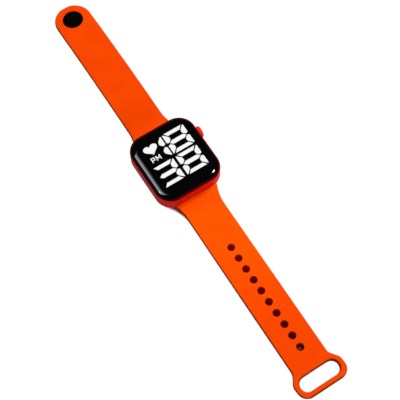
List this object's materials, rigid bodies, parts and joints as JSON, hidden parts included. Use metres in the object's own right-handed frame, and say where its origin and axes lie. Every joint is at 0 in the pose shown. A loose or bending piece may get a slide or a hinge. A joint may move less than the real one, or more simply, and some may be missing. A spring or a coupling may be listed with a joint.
{
  "type": "digital wristwatch",
  "caption": "Rounded-square digital wristwatch with a black lens, a push crown and a two-part moulded strap that closes with a stud and a slotted loop, laid out open.",
  "frame": {"origin": "centre of the rear cover's outer face", "axes": "+X towards 3 o'clock, where the crown is, +Y towards 12 o'clock along the strap, +Z out of the dial"},
  "size_m": [0.0384, 0.2456, 0.0151],
  "materials": {
    "red_plastic": "gloss red",
    "lens_acrylic": "polished black",
    "stud_acrylic": "gloss black",
    "strap_silicone": "matte orange silicone",
    "steel": "satin",
    "seal_rubber": "matte",
    "circuit_board": "green solder mask",
    "black_resin": "matte black",
    "white_plastic": "matte white"
  },
  "bodies": {
    "case": {"case_body": "red_plastic", "lens": "lens_acrylic", "lens_gasket": "seal_rubber", "display_reflector": "white_plastic", "diffuser_film": "white_plastic", "display_board": "circuit_board", "main_board": "circuit_board", "controller_chip": "black_resin", "quartz_crystal": "steel", "push_switch": "black_resin", "coin_cell": "steel", "battery_clip": "steel", "battery_contact": "steel", "rear_cover": "red_plastic", "cover_gasket": "seal_rubber", "cover_screw_1": "steel", "cover_screw_2": "steel", "cover_screw_3": "steel", "cover_screw_4": "steel", "upper_spring_bar": "steel", "lower_spring_bar": "steel", "crown_spring": "steel"},
    "crown": {"crown_cap": "red_plastic", "crown_stem": "steel", "crown_clip": "steel", "crown_seal": "seal_rubber"},
    "plunger": {"switch_plunger": "black_resin"},
    "stud_band": {"stud_strap": "strap_silicone", "stud_cap": "stud_acrylic", "stud_pin": "stud_acrylic"},
    "hole_band": {"hole_strap": "strap_silicone"}
  },
  "joints": [
    {"name": "crown_press", "type": "slide", "parent": "case", "child": "crown", "axis": [1, 0, 0], "range_m": [-0.0005, 0], "stiffness_N_per_m": 2000, "deforming": ["crown_spring"]},
    {"name": "plunger_press", "type": "slide", "parent": "case", "child": "plunger", "axis": [1, 0, 0], "range_m": [-0.0005, 0]},
    {"name": "stud_strap_hinge", "type": "hinge", "parent": "case", "child": "stud_band", "pos_m": [0, 0.017, 0.0023], "axis": [-1, 0, 0], "range_deg": [0, 65]},
    {"name": "hole_strap_hinge", "type": "hinge", "parent": "case", "child": "hole_band", "pos_m": [0, -0.017, 0.0023], "axis": [1, 0, 0], "range_deg": [0, 65]}
  ],
  "couplings": [
    {"joint": "plunger_press", "follows": "crown_press", "ratio": 1}
  ]
}
